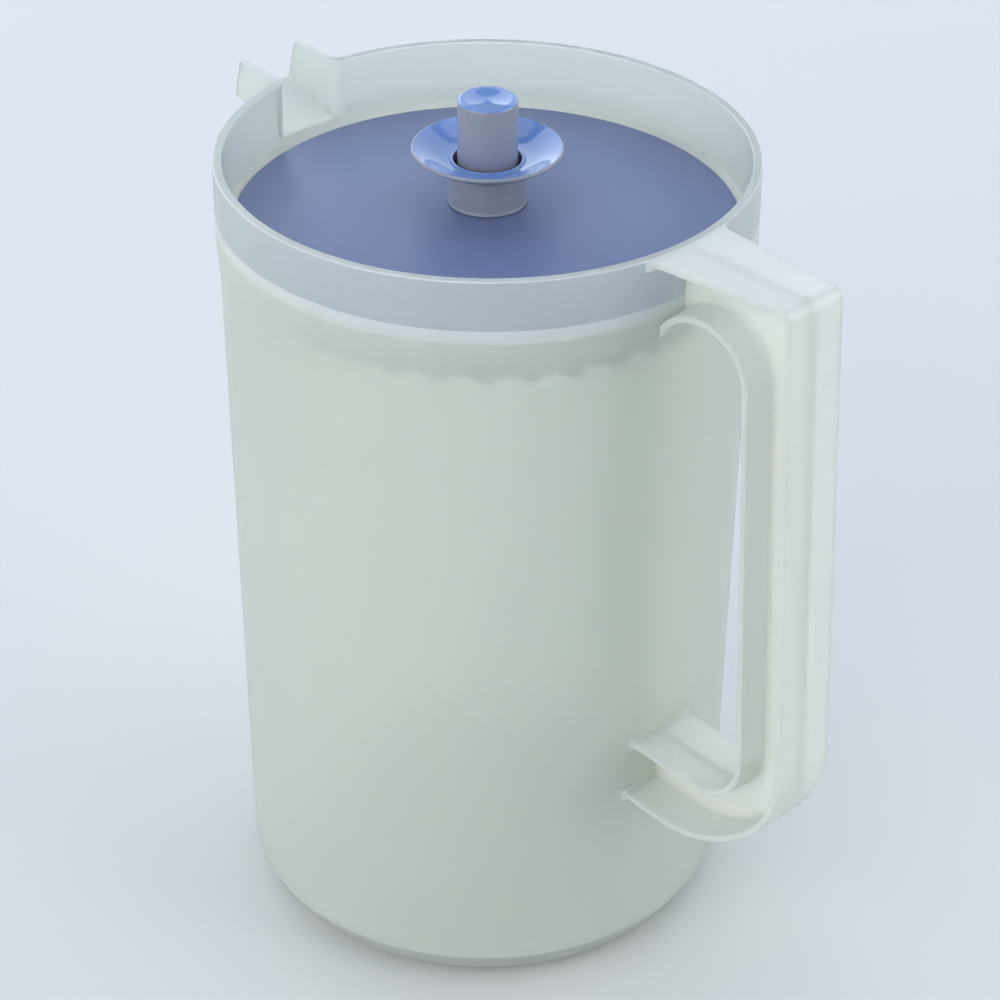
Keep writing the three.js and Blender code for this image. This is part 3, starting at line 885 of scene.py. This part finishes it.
@dataclass
class LidAssembly:
    """The lid: disc, seal, saucer grip, push button and flexible web."""

    jug: JugMoulding
    gap: float = 0.3
    bevel: float = 0.3
    crease: float = 38.0
    overlap: float = 1.3
    edge: float = 0.4
    edge_inset: float = 0.15
    edge_bevel: float = 0.1
    edge_bevel_low: float = 0.12
    dome: float = 5.3
    thickness: float = 1.9
    rib_wall: float = 1.6
    rib_drop: float = 2.6
    rib_margin: float = 0.4
    seal_wall: float = 1.6
    hook_reach: float = 4.0
    hook: float = 1.3
    skirt: float = 13.0
    scallops: int = 36
    scallop_steps: int = 13
    scallop_depth: float = 3.0
    scallop_share: float = 0.72
    button_radius: float = 9.1
    button_stand: float = 15.7
    button_wall: float = 1.6
    button_dish: float = 1.1
    button_dish_curve: float = 1.5
    button_edge: float = 1.3
    button_flange: float = 2.3
    button_flange_height: float = 1.5
    button_tail: float = 5.5
    # How far up a face must look, and how far out from the bore it must lie, to take the gloss and
    # the painted sky reflection.
    gloss_and_painted_sky_tilt: float = 0.4
    gloss_and_painted_sky_inset: float = 0.2
    knob_height: float = 17.9
    bore_gap: float = 1.25
    neck_wall: float = 1.4
    saucer_reach: float = 11.25
    saucer_depth: float = 4.1
    saucer_wall: float = 1.7
    saucer_under: float = 5.2
    saucer_curve: float = 1.8
    lip: float = 0.65
    bead_width: float = 0.9
    bead: float = 0.4
    neck_top_foot: float = 0.25
    neck_foot: float = 0.4
    neck_foot_height: float = 1.2
    neck_foot_curve: Pair = (0.3, 0.6)
    shoulder: float = 0.75
    barb: float = 1.0
    barb_height: float = 1.6
    barb_bevel: float = 0.25
    guide_height: float = 4.0
    web_thickness: float = 1.2
    hub_margin: float = 3.4
    sides: int = 256
    knob_sides: int = 128

    def __post_init__(self) -> None:
        """Works out the radii and heights that follow from the jug and the sizes.

        The bore is the knob's hole round the button, the spigot stands in the disc's own hole,
        and under is the disc's underside at its rim.
        """
        self.radius = self.jug.throat + self.overlap
        self.seal_outer = self.jug.throat - self.gap
        self.rib_outer = self.seal_outer - self.seal_wall - self.gap
        self.bore = self.button_radius + self.bore_gap
        self.neck = self.bore + self.neck_wall
        self.spigot = self.neck - self.shoulder
        self.hole = self.spigot + self.gap
        self.edge_top = self.seat_height(self.radius) + self.gap + self.edge
        self.under = self.seat_height(self.seal_outer) + self.gap
        self.hook_top = self.under - self.rib_drop - self.gap
        self.saucer_top = self.dome_height(0) + self.knob_height
        hole_low = self.dome_height(self.hole) - self.thickness
        self.spigot_bottom = hole_low - self.gap - self.barb_height
        self.button_bottom = self.spigot_bottom - self.gap - self.button_tail

    def seat_height(self, radius: float) -> float:
        """The seat's height under the lid at a radius."""
        slope = self.jug.seat_drop / self.jug.seat_width
        return self.jug.seat_top - slope * (self.jug.seat_outer - radius)

    def dome_height(self, radius: float) -> float:
        """The disc's upper height at a radius."""
        return self.edge_top + self.dome * (1 - (radius / self.radius) ** 2)

    def dress(
        self, piece: Piece, finishes: Sequence[Plastic], body: str, node: str
    ) -> None:
        """Shades a piece, gives it its finish and puts it in its node's place.

        Args:
            piece: the finished piece.
            finishes: the plastics of its faces, by material index.
            body: the body it rides on.
            node: the CAD node it stands for.
        """
        smooth(piece, self.crease)
        for finish in finishes:
            known = bpy.data.materials.get(finish.name)
            piece.data.materials.append(known or finish.material())
        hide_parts(node)
        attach(piece, body)

    def build_disc(self) -> Piece:
        """Builds the satin disc with its thin edge and the rib below."""
        radius, rib, under, soft = self.radius, self.rib_outer, self.under, self.bevel
        inner, rib_low = rib - self.rib_wall, under - self.rib_drop
        span = radius - self.edge_inset - self.hole
        top = [(r, self.dome_height(r)) for r in (self.hole + span * s for s in shares(24))]
        below = [(r, z - self.thickness) for r, z in top if r < inner - self.rib_margin]
        edge_low, bevel = self.edge_top - self.edge, self.edge_bevel
        outline = [
            *below, (inner, under), (inner, rib_low + soft), (inner + soft, rib_low),
            (rib - soft, rib_low), (rib, rib_low + soft), (rib, under), (self.seal_outer, under),
            (radius - bevel, edge_low), (radius, edge_low + self.edge_bevel_low),
            (radius, self.edge_top - bevel), *reversed(top),
        ]
        disc = lathe("lid_disc_fine", outline, self.sides)
        self.dress(disc, [SATIN_BLUE], "lid", "lid_disc")
        return disc

    def build_seal(self) -> Piece:
        """Builds the seal, its natural plastic painted dark as shade: a ring with an inner hook and
        a scalloped skirt.
        """
        top, hook_top, soft = self.under - self.gap, self.hook_top, self.bevel
        outer, inner = self.seal_outer, self.seal_outer - self.seal_wall
        hook, hook_low = inner - self.hook_reach, hook_top - self.hook
        half_span = math.pi / self.scallops * self.scallop_share
        rings = []
        for notch in range(self.scallops):
            middle = WHOLE_TURN * notch / self.scallops
            for step in shares(self.scallop_steps):
                share = math.cos(math.pi * (1 - step))
                rise = math.sqrt(max(0.0, 1 - share * share)) * self.scallop_depth
                edge = top - self.skirt + rise
                section = [
                    (inner + soft, edge), (outer - soft, edge), (outer, edge + soft),
                    (outer, top - soft), (outer - soft, top), (inner, top), (inner, hook_top),
                    (hook, hook_top), (hook, hook_low), (inner, hook_low), (inner, edge + soft),
                ]
                angle = middle + half_span * share
                out = Vector((math.cos(angle), math.sin(angle), 0))
                rings.append([out * r + Vector((0, 0, z)) for r, z in section])
        seal = loft("lid_seal_fine", rings, closed=True)
        self.dress(seal, [NATURAL_PAINTED_SHADE], "lid", "lid_seal")
        return seal

    def build_grip(self) -> Piece:
        """Builds the saucer grip: dished saucer, neck, spigot and barb."""
        top, bore, neck = self.saucer_top, self.bore, self.neck
        reach, dish_low = neck + self.saucer_reach, top - self.saucer_depth
        dish_in, dish_out = bore + self.bead_width, reach - self.lip
        under_top = top - self.saucer_wall
        neck_top = under_top - self.saucer_under
        neck_low = self.dome_height(self.hole) + self.gap
        low, spigot = self.spigot_bottom, self.spigot
        barb, barb_top = spigot + self.barb, low + self.barb_height
        guide, guide_top = self.button_radius + self.gap, low + self.guide_height
        foot, foot_height = self.neck_foot, self.neck_foot_height
        foot_x, foot_z = self.neck_foot_curve
        half_bead = self.bead_width / 2
        bead = arc((bore + half_bead, dish_low), half_bead, 180, 0, 8)
        bead = [(r, dish_low + (z - dish_low) * self.bead / half_bead) for r, z in bead]
        width, deep = dish_out - dish_in, self.saucer_depth
        dish = [(dish_in + width * s, dish_low + deep * (s * s * (2 - s))) for s in shares(20)[1:]]
        lip = arc((reach - self.lip, top - self.lip), self.lip, 90, -60, 8)
        start = reach - self.lip - self.bevel
        run, fall, curve = neck + self.bead_width - start, neck_top - under_top, self.saucer_curve
        under = [(start + run * s, under_top + fall * s**curve) for s in shares(12)]
        outline = [
            *reversed(bead), (bore, guide_top + self.bead_width), (guide, guide_top), (guide, low),
            (spigot, low), (barb, barb_top - self.barb_bevel), (barb, barb_top), (spigot, barb_top),
            (spigot, neck_low), (neck + foot, neck_low), (neck + foot, neck_low + self.bevel),
            (neck + foot * foot_x, neck_low + foot_height * foot_z), (neck, neck_low + foot_height),
            (neck, neck_top - self.bead_width), (neck + self.neck_top_foot, neck_top - self.bevel),
            *reversed(under), *reversed(lip), *reversed(dish),
        ]
        grip = lathe("grip_collar_fine", outline, self.knob_sides)
        # Faces that look up in the dish take the gloss and the painted sky reflection; the rest
        # take the greyer painted shade.
        for face in grip.data.polygons:
            out = math.hypot(face.center.x, face.center.y) / MM
            dished = face.normal.z > 0 and face.center.z > neck_top * MM
            gloss_and_painted_sky = dished and bore + self.gloss_and_painted_sky_inset < out < dish_out
            face.material_index = 0 if gloss_and_painted_sky else 1
        self.dress(grip, [GLOSS_BLUE_PAINTED_SKY, SATIN_GRIP_PAINTED_SHADE], "lid", "grip_collar")
        return grip

    def build_button(self) -> Piece:
        """Builds the hollow plunger with its dished top and its stop flange."""
        top, radius = self.saucer_top + self.button_stand, self.button_radius
        rim, wide = radius - self.button_edge, radius + self.button_flange
        flange_top = self.spigot_bottom - self.gap
        flange_low = flange_top - self.button_flange_height
        low, inside = self.button_bottom, radius - self.button_wall
        hollow_top = top - self.button_dish - self.button_wall
        deep, curve = self.button_dish, self.button_dish_curve
        dish = [(rim * s, top - deep * (1 - s * s) ** curve) for s in shares(12)[:-1]]
        edge = arc((rim, top - self.button_edge), self.button_edge, 90, 0, 10)
        outline = [
            (0.0, hollow_top), (inside, hollow_top), (inside, low), (radius, low),
            (radius, flange_low), (wide, flange_low), (wide, flange_top), (radius, flange_top),
            *reversed(edge), *reversed(dish),
        ]
        button = lathe("push_button_fine", outline, self.knob_sides)
        gloss_and_painted_sky_low = (top - 2 * self.button_edge) * MM
        # The button's top faces that look up take the gloss and the painted sky reflection; its
        # sides take the greyer painted shade.
        for face in button.data.polygons:
            dished = face.normal.z > self.gloss_and_painted_sky_tilt and face.center.z > gloss_and_painted_sky_low
            face.material_index = 1 if dished else 0
        self.dress(button, [SATIN_GRIP_PAINTED_SHADE, GLOSS_BLUE_PAINTED_SKY], "button", "push_button")
        return button

    def build_web(self) -> Piece:
        """Builds the flexible web, shaped in an eased curve from the button's hub out to the lid.
        """
        hub_top = self.button_bottom - self.gap
        hub = self.button_radius + self.hub_margin
        rim_low = self.hook_top + self.gap
        rim = self.rib_outer - self.rib_wall - self.gap
        thick = self.web_thickness
        span, lift = rim - self.hook_reach - hub, rim_low + thick - hub_top
        upper = [(0.0, hub_top), (hub, hub_top)]
        upper += [(hub + span * s, hub_top + lift * ease(s)) for s in shares(24)[1:]]
        upper += [(rim, rim_low + thick)]
        lower = [(r, z - thick) for r, z in upper]
        web = lathe("spring_web_fine", [*lower, *reversed(upper)], self.sides)
        smooth(web, self.crease)
        web.data.materials.append(bpy.data.materials[NATURAL_PAINTED_SHADE.name])
        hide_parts("spring_web")
        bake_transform(web)
        return web


# Studio


WARM = (1.0, 0.98, 0.92)
COOL = (0.86, 0.93, 1.0)


@dataclass(frozen=True)
class Lamp:
    """A soft square lamp, placed in the photograph's axes: right, away and up, in metres."""

    name: str
    place: Triple
    power: float
    colour: Triple
    size: float = 2.0


@dataclass
class Studio:
    """The camera at the photograph's angle, the pale floor and the plain soft light."""

    focal_pixels: float = 3100.0
    frame_pixels: float = 1000.0
    sensor: float = 36.0
    clip: Pair = (0.05, 50.0)
    away: Point = (-0.7108, 0.7034)
    right: Point = (0.7034, 0.7108)
    camera_back: float = 839.37
    camera_up: float = 669.62
    yaw: float = 0.0054
    pitch: float = 0.56595
    roll: float = 0.007855
    floor_size: float = 1.8
    floor_drop: float = 0.0002
    floor_colour: Triple = (0.72, 0.72, 0.71)
    floor_roughness: float = 0.9
    sky_low: Triple = (0.68, 0.83, 1.0)
    sky_high: Triple = (0.36, 0.50, 0.85)
    sky_climb: Pair = (0.15, 0.9)
    sky_strength: float = 0.45
    aim_height: float = 0.13
    lamps: tuple[Lamp, ...] = (
        Lamp("left", (-1.9, -0.2, 0.85), 11.0, WARM),
        Lamp("front", (-1.1, -1.6, 0.85), 27.0, WARM),
        Lamp("side", (1.9, -0.3, 0.85), 24.0, WARM),
        Lamp("back_left", (-1.0, 1.7, 0.9), 21.0, COOL),
        Lamp("back_right", (1.0, 1.7, 0.9), 13.0, COOL),
        Lamp("top", (0.0, 0.3, 2.4), 12.0, (1.0, 0.99, 0.97)),
    )

    def in_part(self, right: float, away: float, up: float) -> Vector:
        """A direction or place in the photograph's axes, turned into the part's axes."""
        x = self.right[0] * right + self.away[0] * away
        y = self.right[1] * right + self.away[1] * away
        return Vector((x, y, up))

    def set_camera(self) -> None:
        """Makes the camera that matches the photograph's frame."""
        data = bpy.data.cameras.new("photo_camera")
        data.sensor_width = self.sensor
        data.lens = self.focal_pixels * self.sensor / self.frame_pixels
        data.clip_start, data.clip_end = self.clip
        flat, across, ahead = math.cos(self.pitch), math.sin(self.yaw), math.cos(self.yaw)
        forward = self.in_part(across * flat, ahead * flat, -math.sin(self.pitch))
        side = self.in_part(ahead, -across, 0)
        over = side.cross(forward)
        right = side * math.cos(self.roll) + over * math.sin(self.roll)
        top = over * math.cos(self.roll) - side * math.sin(self.roll)
        turn = Matrix((right, top, -forward)).transposed().to_4x4()
        camera = add_object("photo_camera", data)
        place = self.in_part(0, -self.camera_back, self.camera_up) * MM
        camera.matrix_world = Matrix.Translation(place) @ turn
        bpy.context.scene.camera = camera

    def lay_floor(self) -> None:
        """Lays the plain pale floor."""
        half = self.floor_size / 2
        square = [(-half, -half, 0), (half, -half, 0), (half, half, 0), (-half, half, 0)]
        mesh = bpy.data.meshes.new("floor")
        mesh.from_pydata(square, [], [(0, 1, 2, 3)])
        floor = add_object("floor", mesh)
        floor.location.z = -self.floor_drop
        made = bpy.data.materials.new("pale_floor")
        made.use_nodes = True
        fill(made.node_tree.nodes["Principled BSDF"], {
            "Base Color": (*self.floor_colour, 1),
            "Roughness": self.floor_roughness,
            "Specular IOR Level": 0.0,
        })
        floor.data.materials.append(made)

    def hang_lamps(self) -> None:
        """Hangs the soft lamps, each facing the jug's middle."""
        aim = Vector((0, 0, self.aim_height))
        for lamp in self.lamps:
            data = bpy.data.lights.new(lamp.name, "AREA")
            data.size = lamp.size
            data.energy = lamp.power
            data.color = lamp.colour
            light = add_object(lamp.name, data)
            light.location = self.in_part(*lamp.place)
            light.rotation_euler = (light.location - aim).to_track_quat("Z", "Y").to_euler()

    def light_world(self) -> None:
        """Fills the studio with soft light, pale at the horizon and bluer overhead."""
        world = bpy.data.worlds.new("studio")
        world.use_nodes = True
        nodes, links = world.node_tree.nodes, world.node_tree.links
        place = nodes.new("ShaderNodeTexCoord")
        height = nodes.new("ShaderNodeSeparateXYZ")
        links.new(place.outputs["Generated"], height.inputs["Vector"])
        climb = nodes.new("ShaderNodeMapRange")
        climb.interpolation_type = "SMOOTHSTEP"
        fill(climb, {"From Min": self.sky_climb[0], "From Max": self.sky_climb[1]})
        links.new(height.outputs["Z"], climb.inputs["Value"])
        tint = colour_mix(nodes, self.sky_low, self.sky_high)
        links.new(climb.outputs["Result"], tint.inputs["Factor"])
        back = nodes["Background"]
        links.new(tint.outputs["Result"], back.inputs["Color"])
        fill(back, {"Strength": self.sky_strength})
        bpy.context.scene.world = world

    def build(self) -> None:
        """Sets up the camera, floor and light."""
        self.set_camera()
        self.lay_floor()
        self.hang_lamps()
        self.light_world()
        bpy.context.scene.view_settings.view_transform = "Standard"


def report(piece: Piece) -> None:
    """Logs a finished piece with its face count."""
    log.info("%s: %d faces", piece.name, len(piece.data.polygons))


def main() -> None:
    """Builds every piece around the frame."""
    logging.basicConfig(level=logging.INFO, format="%(name)s: %(message)s")
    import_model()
    Studio().build()
    log.info("studio ready")
    jug = JugMoulding()
    report(jug.build())
    lid = LidAssembly(jug)
    for build in (lid.build_disc, lid.build_seal, lid.build_grip, lid.build_button, lid.build_web):
        report(build())


if __name__ == "__main__":
    main()
